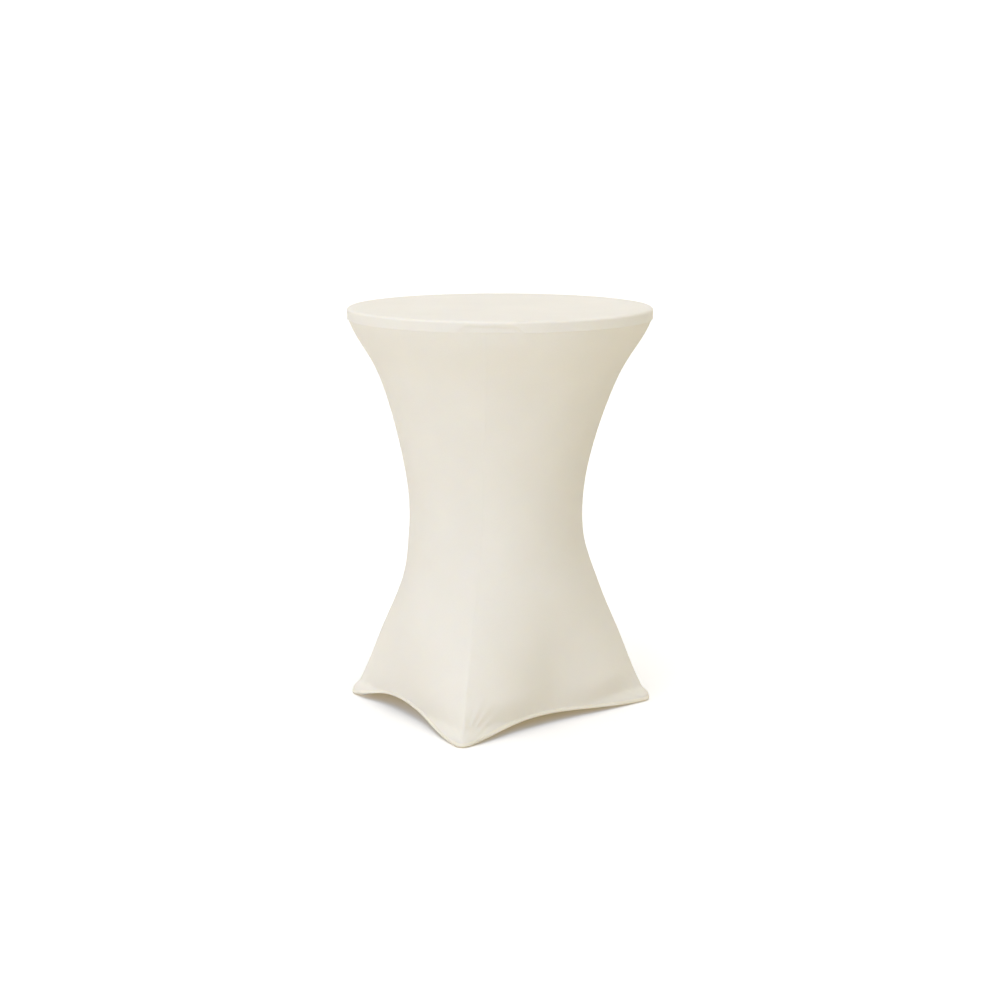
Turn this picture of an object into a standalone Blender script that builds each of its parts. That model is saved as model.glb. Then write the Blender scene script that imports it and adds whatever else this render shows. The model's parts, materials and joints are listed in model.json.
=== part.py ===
"""A stretch cover over a folding standing table: round moulded top on two crossed tube frames.

Metres, +Z up. The origin is on the floor under the middle of the top. X runs along the long
side of the four feet, the way the frames fold, and Y runs along the pivot of the crossed frames.
"""

import math

import bmesh
import bpy
from mathutils import Matrix, Vector

# Driving dimensions: the covered table as a whole.
TABLE_HEIGHT = 1.100
COVER_RADIUS = 0.405
FOOT_HALF_X = 0.3208
FOOT_HALF_Y = 0.2705

# The cover.
FABRIC = 0.0015
FIT = 0.0005
GAP = 0.0003
RIM_DEPTH = 0.0283
RIM_ROUNDING = 0.006
WELT_RADIUS = 0.0018
WAIST_HEIGHT_SHARE = 0.50
WAIST_RADIUS = 0.2385
FLARE_POWER = 1.89
RIDGE_FULLNESS = 0.6
RIDGE_FULL_FROM = 0.010
RIDGE_FULL_AT = 0.105
HEM_BAND = 0.012
HEM_FABRIC = 0.0024
HEM_LIFT_X = 0.026
HEM_LIFT_Y = 0.016
HEM_BOW_X = 0.026
HEM_BOW_Y = 0.018
POCKET_SIDE = 0.050
POCKET_HEIGHT = 0.034
POCKET_FLOOR = 0.0008
POCKET_WALL = 0.0012

# The moulded top.
PLATE = 0.009
RIM_WALL = 0.006
RIB_DEPTH = 0.008
RIB_WIDTH = 0.005
RIB_RADII = (0.10, 0.205, 0.315)
GRIP_WIDTH = 0.150
GRIP_HEIGHT = 0.017
GRIP_ANGLE = math.radians(-129.6)

# The crossed frames.
PIVOT_HEIGHT = 0.570
LEG_RADIUS = 0.011
TUBE_WALL = 0.0015
BAR_RADIUS = 0.0125
BAR_DROP = 0.038
BAR_HALF = 0.190
RAIL_RADIUS = 0.010
RAIL_HEIGHT = 0.300
FOOT_RADIUS = 0.0225
FOOT_CAP = 0.028
OUTER_PIVOT_Y = 0.1585
LEG_SPACING = 0.0285
BOLT_RADIUS = 0.004
BOLT_PLAY = 0.0004
BOLT_HEAD_RADIUS = 0.0085
BOLT_HEAD = 0.005
NUT_RADIUS = 0.0075
NUT = 0.0065

# Saddles, rests and their screws under the top.
BRACKET_Y = 0.150
BRACKET_WIDTH = 0.030
FLANGE_HALF = 0.038
FLANGE = 0.005
BORE_PLAY = 0.0006
SADDLE_WALL = 0.0055
SCREW_OFFSET = 0.029
SCREW_RADIUS = 0.0021
SCREW_HEAD_RADIUS = 0.0048
SCREW_HEAD = 0.0028
SCREW_BITE = 0.006
SCREW_PLAY = 0.0003

# Facets.
ROUND = 64
TUBE_SIDES = 16
SMALL_SIDES = 12

# Places that follow from the values above.
SEAM_HEIGHT = TABLE_HEIGHT - RIM_DEPTH
WAIST_HEIGHT = TABLE_HEIGHT * WAIST_HEIGHT_SHARE
TOP_RADIUS = COVER_RADIUS - FABRIC - FIT
TOP_FACE = TABLE_HEIGHT - FABRIC - GAP
PLATE_UNDER = TOP_FACE - PLATE
BAR_HEIGHT = TABLE_HEIGHT - BAR_DROP
FOOT_BOTTOM = POCKET_FLOOR + GAP
FOOT_TOP = FOOT_BOTTOM + FOOT_CAP
FOOT_X = FOOT_HALF_X - POCKET_WALL - GAP - FOOT_RADIUS
FOOT_Y = FOOT_HALF_Y - POCKET_WALL - GAP - FOOT_RADIUS
LEAN = FOOT_X / (PIVOT_HEIGHT - FOOT_TOP)
BAR_X = LEAN * (BAR_HEIGHT - PIVOT_HEIGHT)
INNER_PIVOT_Y = OUTER_PIVOT_Y - LEG_SPACING
CORNER_ANGLE = math.atan2(FOOT_HALF_Y, FOOT_HALF_X)
CORNER_RADIUS = math.hypot(FOOT_HALF_X, FOOT_HALF_Y)


def clear_scene():
    for obj in list(bpy.data.objects):
        bpy.data.objects.remove(obj)


def make_material(name, colour, roughness, metallic=0.0):
    material = bpy.data.materials.new(name)
    material.use_nodes = True
    shader = material.node_tree.nodes["Principled BSDF"]
    shader.inputs["Base Color"].default_value = (*colour, 1.0)
    shader.inputs["Roughness"].default_value = roughness
    shader.inputs["Metallic"].default_value = metallic
    return material


def add_object(name, mesh, material, parent=None, origin=(0, 0, 0)):
    """Links a mesh made in world coordinates as an object whose origin is at the given point."""
    mesh.transform(Matrix.Translation(-Vector(origin)))
    obj = bpy.data.objects.new(name, mesh)
    obj.location = origin
    mesh.materials.append(material)
    bpy.context.scene.collection.objects.link(obj)
    if parent:
        obj.parent = parent
        obj.matrix_parent_inverse = Matrix.Translation(-Vector(parent.location))
    return obj


def add_axis(name, origin):
    """An empty on a joint's axis, which carries the pieces that move with that joint."""
    empty = bpy.data.objects.new(name, None)
    empty.location = origin
    bpy.context.scene.collection.objects.link(empty)
    return empty


def mesh_from(bm, name, smooth_below=math.radians(40)):
    bmesh.ops.remove_doubles(bm, verts=bm.verts, dist=1e-6)
    bmesh.ops.recalc_face_normals(bm, faces=bm.faces)
    mesh = bpy.data.meshes.new(name)
    bm.to_mesh(mesh)
    bm.free()
    mesh.shade_smooth()
    mesh.set_sharp_from_angle(angle=smooth_below)
    return mesh


def turned(name, profile, segments, centre=(0, 0, 0)):
    """Spins a closed outline of (radius, height) points about a vertical line through centre."""
    bm = bmesh.new()
    verts = [bm.verts.new((radius, 0, height)) for radius, height in profile]
    edges = [bm.edges.new((a, b)) for a, b in zip(verts, verts[1:] + verts[:1])]
    bmesh.ops.spin(
        bm, geom=verts + edges, cent=(0, 0, 0), axis=(0, 0, 1), angle=2 * math.pi, steps=segments
    )
    bmesh.ops.remove_doubles(bm, verts=bm.verts, dist=1e-6)
    bmesh.ops.delete(bm, geom=[f for f in bm.faces if f.calc_area() < 1e-12], context="FACES")
    loose = [e for e in bm.edges if not e.link_faces]
    bmesh.ops.delete(bm, geom=loose, context="EDGES")
    bmesh.ops.translate(bm, verts=bm.verts, vec=centre)
    return mesh_from(bm, name)


def arc(centre, radius, start, end, steps):
    """Points along part of a circle, angles in degrees."""
    angles = [math.radians(start + (end - start) * i / steps) for i in range(steps + 1)]
    return [
        (centre[0] + radius * math.cos(a), centre[1] + radius * math.sin(a)) for a in angles
    ]


def rod(name, start, end, radius, sides, bore=0.0, level_ends=False):
    """A round bar, or a tube when bore is over 0. level_ends cuts both ends horizontally."""
    start, end = Vector(start), Vector(end)
    along = (end - start).normalized()
    first = along.orthogonal().normalized()
    second = along.cross(first)
    bm = bmesh.new()

    def ring(centre, size):
        verts = []
        for i in range(sides):
            turn = 2 * math.pi * i / sides
            offset = size * (math.cos(turn) * first + math.sin(turn) * second)
            if level_ends:
                offset -= along * (offset.z / along.z)
            verts.append(bm.verts.new(centre + offset))
        return verts

    rings = [ring(start, radius), ring(end, radius)]
    if bore:
        rings += [ring(end, bore), ring(start, bore)]
        pairs = list(zip(rings, rings[1:] + rings[:1]))
    else:
        pairs = [(rings[0], rings[1])]
        bm.faces.new(rings[0])
        bm.faces.new(rings[1])
    for near, far in pairs:
        for i in range(sides):
            j = (i + 1) % sides
            bm.faces.new((near[i], near[j], far[j], far[i]))
    return mesh_from(bm, name)


def stacked(name, discs, sides):
    """Coaxial discs along Y in one turned piece: (y start, y end, radius), low end first."""
    outline = [(0.0, discs[0][0])]
    for low, high, radius in discs:
        outline += [(radius, low), (radius, high)]
    outline.append((0.0, discs[-1][1]))
    mesh = turned(name, outline, sides)
    mesh.transform(Matrix.Rotation(math.radians(-90), 4, "X"))
    return mesh


def prism(name, outline, y_low, y_high):
    """Extrudes a closed outline of (x, z) points along Y."""
    bm = bmesh.new()
    verts = [bm.verts.new((x, y_low, z)) for x, z in outline]
    face = bm.faces.new(verts)
    out = bmesh.ops.extrude_face_region(bm, geom=[face])
    moved = [v for v in out["geom"] if isinstance(v, bmesh.types.BMVert)]
    bmesh.ops.translate(bm, verts=moved, vec=(0, y_high - y_low, 0))
    return mesh_from(bm, name)


def cut(obj, cutter_mesh):
    """Cuts a mesh away from an object with a Boolean modifier."""
    cutter = bpy.data.objects.new(f"{obj.name}_cutter", cutter_mesh)
    bpy.context.scene.collection.objects.link(cutter)
    cutter.hide_render = True
    cutter.display_type = "WIRE"
    modifier = obj.modifiers.new("cut", "BOOLEAN")
    modifier.operation = "DIFFERENCE"
    modifier.solver = "EXACT"
    modifier.object = cutter


def thicken(obj, thickness):
    """Gives an open surface its thickness towards the back of its faces."""
    modifier = obj.modifiers.new("thickness", "SOLIDIFY")
    modifier.thickness = thickness
    modifier.offset = -1.0
    modifier.use_even_offset = True


# The shape of the stretched skirt.


def smooth_step(value):
    value = min(max(value, 0.0), 1.0)
    return value * value * (3 - 2 * value)


def ridge_radius(height):
    """Distance from the axis to the skirt above a foot: waisted, then straight down the leg."""
    if height >= WAIST_HEIGHT:
        share = (height - WAIST_HEIGHT) / (SEAM_HEIGHT - WAIST_HEIGHT)
        return WAIST_RADIUS + (COVER_RADIUS - WAIST_RADIUS) * share**FLARE_POWER
    drop = (WAIST_HEIGHT - height) / WAIST_HEIGHT
    bend, softness = 0.244, 0.073
    full = softness * math.log1p(math.exp((1 - bend) / softness))
    part = softness * math.log1p(math.exp((drop - bend) / softness))
    return WAIST_RADIUS + (CORNER_RADIUS - WAIST_RADIUS) * part / full


def side_radius(height, foot_half, bow):
    """Distance from the axis to the middle of a side: the waist's circle, then a flatter panel."""
    ridge = ridge_radius(height)
    panel = foot_half - 0.008
    soft = 0.03
    flat = 0.5 * (ridge + panel - math.hypot(ridge - panel, soft))
    below = smooth_step((WAIST_HEIGHT - height) / (0.3 * WAIST_HEIGHT))
    near_floor = max(0.0, 1 - height / (0.3 * WAIST_HEIGHT))
    return ridge + (flat - ridge) * below - (bow - 0.008) * near_floor**2


def skirt_point(side, share, height):
    """A point on one side panel: share runs from -1 at one foot's seam to 1 at the next."""
    half_angle = CORNER_ANGLE if side["along"] == "X" else math.pi / 2 - CORNER_ANGLE
    middle = side_radius(height, side["foot_half"], side["bow"])
    ridge = ridge_radius(height)
    angle = share * half_angle
    taut = (1 / math.cos(angle) - 1) / (1 / math.cos(half_angle) - 1)
    full = (1 - math.cos(math.pi * share)) / 2
    rise = (height - RIDGE_FULL_FROM) / (RIDGE_FULL_AT - RIDGE_FULL_FROM)
    outwards = taut + (full - taut) * RIDGE_FULLNESS * smooth_step(rise)
    radius = middle + (ridge - middle) * outwards
    facing = side["facing"] + angle
    return Vector((radius * math.cos(facing), radius * math.sin(facing), height))


def hem_height(side, share):
    """The hem arches up from the feet to the middle of a side."""
    return GAP + side["lift"] * math.cos(share * math.pi / 2) ** 0.8


SIDES = {
    "right": {"facing": 0.0, "along": "X"},
    "back": {"facing": math.pi / 2, "along": "Y"},
    "left": {"facing": math.pi, "along": "X"},
    "front": {"facing": -math.pi / 2, "along": "Y"},
}
for side_values in SIDES.values():
    along_x = side_values["along"] == "X"
    side_values["foot_half"] = FOOT_HALF_X if along_x else FOOT_HALF_Y
    side_values["half_width"] = FOOT_HALF_Y if along_x else FOOT_HALF_X
    side_values["bow"] = HEM_BOW_X if along_x else HEM_BOW_Y
    side_values["lift"] = HEM_LIFT_X if along_x else HEM_LIFT_Y


def surface(name, rows):
    """An open surface through a grid of points, its faces turned outwards."""
    bm = bmesh.new()
    grid = [[bm.verts.new(point) for point in row] for row in rows]
    for upper, lower in zip(grid, grid[1:]):
        for i in range(len(upper) - 1):
            bm.faces.new((upper[i], lower[i], lower[i + 1], upper[i + 1]))
    mesh = bpy.data.meshes.new(name)
    bm.to_mesh(mesh)
    bm.free()
    mesh.shade_smooth()
    return mesh


def build_skirt_panel(name, side, material, parent):
    """One gore of the skirt, from the rim's seam down to its hem, cut away over the two pockets."""
    pocket_share = 1 - (POCKET_SIDE + 2 * GAP) / side["half_width"]
    edge = 1 - 0.0012 / side["half_width"]
    arch_share = pocket_share - 0.01
    arch = [arch_share * (i / 5 - 1) for i in range(11)]
    over = [pocket_share + (edge - pocket_share) * i / 4 for i in range(5)]
    shares = [-share for share in reversed(over)] + arch + over
    top = SEAM_HEIGHT - WELT_RADIUS - GAP
    rows = []
    row_count = 12
    for row in range(row_count + 1):
        points = []
        for share in shares:
            over_pocket = abs(share) > arch_share + 0.005
            foot = hem_height(side, share) + HEM_BAND + GAP
            if over_pocket:
                foot = POCKET_HEIGHT + 2 * GAP
            points.append(skirt_point(side, share, top + (foot - top) * row / row_count))
        rows.append(points)
    obj = add_object(name, surface(name, rows), material, parent, parent.location)
    thicken(obj, FABRIC)


def build_hem(name, side, material, parent):
    """The elastic band turned into the lower edge of one gore, between two pockets."""
    pocket_share = 1 - (POCKET_SIDE + 0.002) / side["half_width"]
    steps = 10
    rows = []
    for raised in (HEM_BAND, 0.0):
        row = []
        for i in range(steps + 1):
            share = pocket_share * (2 * i / steps - 1)
            row.append(skirt_point(side, share, hem_height(side, share) + raised))
        rows.append(row)
    obj = add_object(name, surface(name, rows), material, parent, parent.location)
    thicken(obj, HEM_FABRIC)


def build_pocket(name, sign_x, sign_y, material, parent):
    """A foot pocket: a shallow fabric cup with its outer corner rounded, open at the top."""
    rounding = 0.014
    steps = 4
    half = POCKET_SIDE / 2
    outline = []
    for quarter in range(4):
        corner = ((half, half), (-half, half), (-half, -half), (half, -half))[quarter]
        centre = [value - math.copysign(rounding, value) for value in corner]
        outline += arc(centre, rounding, 90 * quarter, 90 * quarter + 90, steps)
    middle = Vector((sign_x * (FOOT_HALF_X - half), sign_y * (FOOT_HALF_Y - half), 0))
    bm = bmesh.new()
    bottom = [bm.verts.new(middle + Vector((x, y, 0))) for x, y in outline]
    top = [bm.verts.new(vert.co + Vector((0, 0, POCKET_HEIGHT))) for vert in bottom]
    inner_top = inset_ring(bm, top, middle, POCKET_WALL)
    inner_bottom = [
        bm.verts.new((vert.co.x, vert.co.y, POCKET_FLOOR)) for vert in inner_top
    ]
    for near, far in ((bottom, top), (top, inner_top), (inner_top, inner_bottom)):
        for i in range(len(near)):
            j = (i + 1) % len(near)
            bm.faces.new((near[i], near[j], far[j], far[i]))
    bm.faces.new(bottom)
    bm.faces.new(inner_bottom)
    add_object(name, mesh_from(bm, name), material, parent, parent.location)


def inset_ring(bm, ring, middle, distance):
    """A copy of a ring of vertices, drawn in towards its middle by a wall's thickness."""
    size = POCKET_SIDE / 2
    scale = (size - distance) / size
    return [
        bm.verts.new((
            middle.x + (vert.co.x - middle.x) * scale,
            middle.y + (vert.co.y - middle.y) * scale,
            vert.co.z,
        ))
        for vert in ring
    ]


def build_cover_top(material, parent):
    """The round top panel, which wraps over the top's edge down to the seam with the skirt."""
    outer, inner = COVER_RADIUS, COVER_RADIUS - FABRIC
    low = SEAM_HEIGHT + WELT_RADIUS + GAP
    bend = (outer - RIM_ROUNDING, TABLE_HEIGHT - RIM_ROUNDING)
    outline = [(0.0, TABLE_HEIGHT)]
    outline += arc(bend, RIM_ROUNDING, 90, 0, 4)
    outline += [(outer, low), (inner, low)]
    outline += arc(bend, RIM_ROUNDING - FABRIC, 0, 90, 4)
    outline.append((0.0, TABLE_HEIGHT - FABRIC))
    mesh = turned("cover_top_panel", outline, ROUND)
    add_object("cover_top_panel", mesh, material, parent, parent.location)


def build_welt(material, parent):
    """The raised seam round the rim that joins the top panel to the four gores."""
    centre = (COVER_RADIUS + WELT_RADIUS - FABRIC, SEAM_HEIGHT)
    outline = arc(centre, WELT_RADIUS, 0, 300, 5)
    mesh = turned("rim_welt", outline, ROUND)
    add_object("rim_welt", mesh, material, parent, parent.location)


def build_cover(fabric, elastic, parent):
    build_cover_top(fabric, parent)
    build_welt(fabric, parent)
    for side_name, side in SIDES.items():
        build_skirt_panel(f"skirt_panel_{side_name}", side, fabric, parent)
        build_hem(f"hem_elastic_{side_name}", side, elastic, parent)
    for x_name, sign_x in (("left", -1), ("right", 1)):
        for y_name, sign_y in (("front", -1), ("back", 1)):
            build_pocket(f"foot_pocket_{y_name}_{x_name}", sign_x, sign_y, fabric, parent)


# The table top and what is screwed under it.


def screw_places():
    """Each screw's name and its place under the top: two to a bracket."""
    for bracket, sign_x in (("saddle", -1), ("rest", 1)):
        for y_name, sign_y in (("front", -1), ("back", 1)):
            for number, offset in (("1", -SCREW_OFFSET), ("2", SCREW_OFFSET)):
                name = f"{bracket}_screw_{y_name}_{number}"
                yield name, sign_x * BAR_X + offset, sign_y * BRACKET_Y


def build_tabletop(material, parent):
    """A moulded round top: a plate with a deep rim and ring ribs, pilot holes and a grip notch."""
    rim_low = SEAM_HEIGHT + GAP
    edge = RIM_ROUNDING - FABRIC - FIT
    outline = [(0.0, TOP_FACE), (TOP_RADIUS - edge, TOP_FACE)]
    outline += arc((TOP_RADIUS - edge, TOP_FACE - edge), edge, 60, 0, 2)
    outline += [(TOP_RADIUS, rim_low), (TOP_RADIUS - RIM_WALL, rim_low)]
    outline.append((TOP_RADIUS - RIM_WALL, PLATE_UNDER))
    for radius in sorted(RIB_RADII, reverse=True):
        outline.append((radius + RIB_WIDTH / 2, PLATE_UNDER))
        outline.append((radius + RIB_WIDTH / 2, PLATE_UNDER - RIB_DEPTH))
        outline.append((radius - RIB_WIDTH / 2, PLATE_UNDER - RIB_DEPTH))
        outline.append((radius - RIB_WIDTH / 2, PLATE_UNDER))
    outline.append((0.0, PLATE_UNDER))
    mesh = turned("tabletop", outline, ROUND)
    top = add_object("tabletop", mesh, material, parent, parent.location)
    cut(top, underside_cutter())


def underside_cutter():
    """Pilot holes, flat seats for the brackets where they cross a rib, and the grip notch."""
    bm = bmesh.new()
    for _, x, y in screw_places():
        place = Matrix.Translation((x, y, PLATE_UNDER))
        bmesh.ops.create_cone(
            bm,
            cap_ends=True,
            segments=SMALL_SIDES,
            radius1=SCREW_RADIUS + SCREW_PLAY,
            radius2=SCREW_RADIUS + SCREW_PLAY,
            depth=2 * SCREW_BITE,
            matrix=place,
        )
    for sign_x in (-1, 1):
        for sign_y in (-1, 1):
            size = Vector((2 * FLANGE_HALF + 0.004, BRACKET_WIDTH + 0.004, 2 * RIB_DEPTH))
            centre = (sign_x * BAR_X, sign_y * BRACKET_Y, PLATE_UNDER - size.z / 2 - 1e-5)
            place = Matrix.Translation(centre) @ Matrix.Diagonal(size).to_4x4()
            bmesh.ops.create_cube(bm, size=1.0, matrix=place)
    add_grip_wedge(bm)
    bmesh.ops.recalc_face_normals(bm, faces=bm.faces)
    mesh = bpy.data.meshes.new("underside_cutter")
    bm.to_mesh(mesh)
    bm.free()
    return mesh


def add_grip_wedge(bm):
    """The grip notch: a wedge that thins the rim's outer face from half its depth down."""
    low = SEAM_HEIGHT - 0.004
    high = SEAM_HEIGHT + GRIP_HEIGHT
    depth = RIM_WALL * 0.7
    turn = Matrix.Rotation(GRIP_ANGLE, 4, "Z")
    corners = []
    for reach in (TOP_RADIUS - depth, TOP_RADIUS + 0.02):
        for z, half in ((low, GRIP_WIDTH / 2 + 0.012), (high, GRIP_WIDTH / 2 - 0.006)):
            for sign in (-1, 1):
                corners.append(bm.verts.new(turn @ Vector((reach, sign * half, z))))
    bmesh.ops.convex_hull(bm, input=corners)


def build_bracket(name, sign_x, y, material, parent, open_side):
    """A saddle round the hinged bar, or a hooked rest that the other frame's bar bears against."""
    x = sign_x * BAR_X
    top = PLATE_UNDER - GAP
    hold = BAR_RADIUS + BORE_PLAY
    body = hold + SADDLE_WALL
    flange_low = top - FLANGE
    left = [(x - FLANGE_HALF, top), (x - FLANGE_HALF, flange_low)]
    right = [(x + FLANGE_HALF, flange_low), (x + FLANGE_HALF, top)]
    if open_side:
        under = [(x - body, flange_low), (x - body, BAR_HEIGHT + hold)]
        under += arc((x, BAR_HEIGHT), hold, 90, 0, 6)
        under += [(x + hold, BAR_HEIGHT - hold * 0.6), (x + body, BAR_HEIGHT - hold * 0.6)]
        under.append((x + body, flange_low))
    else:
        under = [(x - body, flange_low)]
        under += arc((x, BAR_HEIGHT), body, 180, 360, 12)
        under.append((x + body, flange_low))
    y_low, y_high = y - BRACKET_WIDTH / 2, y + BRACKET_WIDTH / 2
    mesh = prism(name, left + under + right, y_low, y_high)
    obj = add_object(name, mesh, material, parent, parent.location)
    bm = bmesh.new()
    if not open_side:
        turn = Matrix.Rotation(math.radians(90), 4, "X")
        place = Matrix.Translation((x, y, BAR_HEIGHT)) @ turn
        bmesh.ops.create_cone(
            bm, cap_ends=True, segments=24, radius1=hold, radius2=hold, depth=0.06, matrix=place
        )
    for offset in (-SCREW_OFFSET, SCREW_OFFSET):
        bmesh.ops.create_cone(
            bm,
            cap_ends=True,
            segments=SMALL_SIDES,
            radius1=SCREW_RADIUS + SCREW_PLAY,
            radius2=SCREW_RADIUS + SCREW_PLAY,
            depth=4 * FLANGE,
            matrix=Matrix.Translation((x + offset, y, top - FLANGE / 2)),
        )
    holes = bpy.data.meshes.new(f"{name}_holes")
    bm.to_mesh(holes)
    bm.free()
    cut(obj, holes)


def build_screw(name, x, y, material, parent):
    """A pan-head screw, up through a bracket's flange into its pilot hole."""
    head_top = PLATE_UNDER - GAP - FLANGE - GAP
    tip = PLATE_UNDER + SCREW_BITE - 0.001
    crown = SCREW_HEAD_RADIUS * 0.6
    outline = [
        (0.0, head_top - SCREW_HEAD),
        (crown, head_top - SCREW_HEAD),
        (SCREW_HEAD_RADIUS, head_top - SCREW_HEAD * 0.4),
        (SCREW_HEAD_RADIUS, head_top),
        (SCREW_RADIUS, head_top),
        (SCREW_RADIUS, tip - SCREW_RADIUS),
        (0.0, tip),
    ]
    mesh = turned(name, outline, SMALL_SIDES, centre=(x, y, 0))
    add_object(name, mesh, material, parent, parent.location)


def build_top(plastic, nylon, zinc, parent):
    build_tabletop(plastic, parent)
    for y_name, sign_y in (("front", -1), ("back", 1)):
        y = sign_y * BRACKET_Y
        build_bracket(f"hinge_saddle_{y_name}", -1, y, nylon, parent, open_side=False)
        build_bracket(f"bar_rest_{y_name}", 1, y, nylon, parent, open_side=True)
    for name, x, y in screw_places():
        build_screw(name, x, y, zinc, parent)


# The two crossed frames. The outer frame's feet are on the right, the inner frame's on the left.


def frame_flare(pivot_y):
    """How much each leg of a frame spreads sideways for each metre down."""
    return (FOOT_Y - pivot_y) / (PIVOT_HEIGHT - FOOT_TOP)


def leg_y(pivot_y, height):
    """Half the width of a frame, which tapers upwards, at a height."""
    return pivot_y + frame_flare(pivot_y) * (PIVOT_HEIGHT - height)


def seat_distance(pivot_y, radius):
    """How far from a leg's middle a flat disc of this radius sits beside the slanting leg."""
    flare = frame_flare(pivot_y)
    return LEG_RADIUS * math.hypot(1, flare) + radius * flare + GAP


def leg_x(sign_x, height):
    return sign_x * LEAN * (PIVOT_HEIGHT - height)


def build_frame(prefix, sign_x, pivot_y, steel, rubber, parent):
    """Two legs, the bar across their tops, a rail across their lower halves and two foot caps."""
    leg_top = BAR_HEIGHT - BAR_RADIUS - GAP
    leg_low = FOOT_TOP + GAP
    bore = LEG_RADIUS - TUBE_WALL
    for y_name, sign_y in (("front", -1), ("back", 1)):
        low = (leg_x(sign_x, leg_low), sign_y * leg_y(pivot_y, leg_low), leg_low)
        high = (leg_x(sign_x, leg_top), sign_y * leg_y(pivot_y, leg_top), leg_top)
        name = f"{prefix}_leg_{y_name}"
        mesh = rod(name, low, high, LEG_RADIUS, TUBE_SIDES, bore, level_ends=True)
        leg = add_object(name, mesh, steel, parent, parent.location)
        hole = rod(
            f"{name}_hole",
            (0, sign_y * (pivot_y - 0.04), PIVOT_HEIGHT),
            (0, sign_y * (pivot_y + 0.04), PIVOT_HEIGHT),
            BOLT_RADIUS + BOLT_PLAY,
            SMALL_SIDES,
        )
        cut(leg, hole)
        build_foot(f"{prefix}_foot_cap_{y_name}", sign_x, sign_y, pivot_y, rubber, parent)
    bar_x = leg_x(sign_x, BAR_HEIGHT)
    ends = ((bar_x, -BAR_HALF, BAR_HEIGHT), (bar_x, BAR_HALF, BAR_HEIGHT))
    name = f"{prefix}_top_bar"
    mesh = rod(name, *ends, BAR_RADIUS, 24, BAR_RADIUS - TUBE_WALL)
    add_object(name, mesh, steel, parent, parent.location)
    rail_x = leg_x(sign_x, RAIL_HEIGHT)
    reach = leg_y(pivot_y, RAIL_HEIGHT) - seat_distance(pivot_y, RAIL_RADIUS)
    ends = ((rail_x, -reach, RAIL_HEIGHT), (rail_x, reach, RAIL_HEIGHT))
    name = f"{prefix}_low_rail"
    mesh = rod(name, *ends, RAIL_RADIUS, TUBE_SIDES, RAIL_RADIUS - TUBE_WALL)
    add_object(name, mesh, steel, parent, parent.location)


def build_foot(name, sign_x, sign_y, pivot_y, rubber, parent):
    """A round foot cap with a spigot that runs up inside the leg's tube."""
    spigot = LEG_RADIUS - TUBE_WALL - 0.0012
    rise = 0.016
    lean = Vector((leg_x(sign_x, FOOT_TOP + rise), sign_y * leg_y(pivot_y, FOOT_TOP + rise), 0))
    base = Vector((leg_x(sign_x, FOOT_TOP), sign_y * leg_y(pivot_y, FOOT_TOP), 0))
    sections = (
        (base, FOOT_RADIUS - 0.003, FOOT_BOTTOM),
        (base, FOOT_RADIUS, FOOT_BOTTOM + 0.003),
        (base, FOOT_RADIUS, FOOT_TOP - 0.006),
        (base, LEG_RADIUS + 0.004, FOOT_TOP),
        (base, spigot, FOOT_TOP),
        (lean, spigot, FOOT_TOP + rise),
    )
    bm = bmesh.new()
    rings = []
    for centre, radius, height in sections:
        ring = []
        for i in range(TUBE_SIDES):
            turn = 2 * math.pi * i / TUBE_SIDES
            offset = Vector((radius * math.cos(turn), radius * math.sin(turn), height))
            ring.append(bm.verts.new(centre + offset))
        rings.append(ring)
    for near, far in zip(rings, rings[1:]):
        for i in range(TUBE_SIDES):
            j = (i + 1) % TUBE_SIDES
            bm.faces.new((near[i], near[j], far[j], far[i]))
    bm.faces.new(rings[0])
    bm.faces.new(rings[-1])
    add_object(name, mesh_from(bm, name), rubber, parent, parent.location)


def build_pivot(y_name, sign_y, zinc, nylon, parent):
    """The pivot on one side: a bolt through both legs, a spacer between them and a nut inside."""
    outside = OUTER_PIVOT_Y + seat_distance(OUTER_PIVOT_Y, BOLT_HEAD_RADIUS)
    inside = INNER_PIVOT_Y - seat_distance(INNER_PIVOT_Y, NUT_RADIUS)
    thread_end = inside - NUT - 0.002
    discs = [
        (thread_end, outside, BOLT_RADIUS),
        (outside, outside + BOLT_HEAD * 0.6, BOLT_HEAD_RADIUS),
        (outside + BOLT_HEAD * 0.6, outside + BOLT_HEAD, BOLT_HEAD_RADIUS * 0.7),
    ]
    bolt = stacked(f"pivot_bolt_{y_name}", discs, TUBE_SIDES)
    spacer_low = INNER_PIVOT_Y + seat_distance(INNER_PIVOT_Y, NUT_RADIUS)
    spacer_high = OUTER_PIVOT_Y - seat_distance(OUTER_PIVOT_Y, NUT_RADIUS)
    spacer = washer(f"pivot_spacer_{y_name}", spacer_low, spacer_high, NUT_RADIUS)
    nut = washer(f"pivot_nut_{y_name}", inside - NUT, inside, NUT_RADIUS, sides=6)
    for mesh, material in ((bolt, zinc), (spacer, nylon), (nut, zinc)):
        if sign_y < 0:
            mesh.transform(Matrix.Rotation(math.pi, 4, "Z"))
        mesh.transform(Matrix.Translation((0, 0, PIVOT_HEIGHT)))
        add_object(mesh.name, mesh, material, parent, parent.location)


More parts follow.
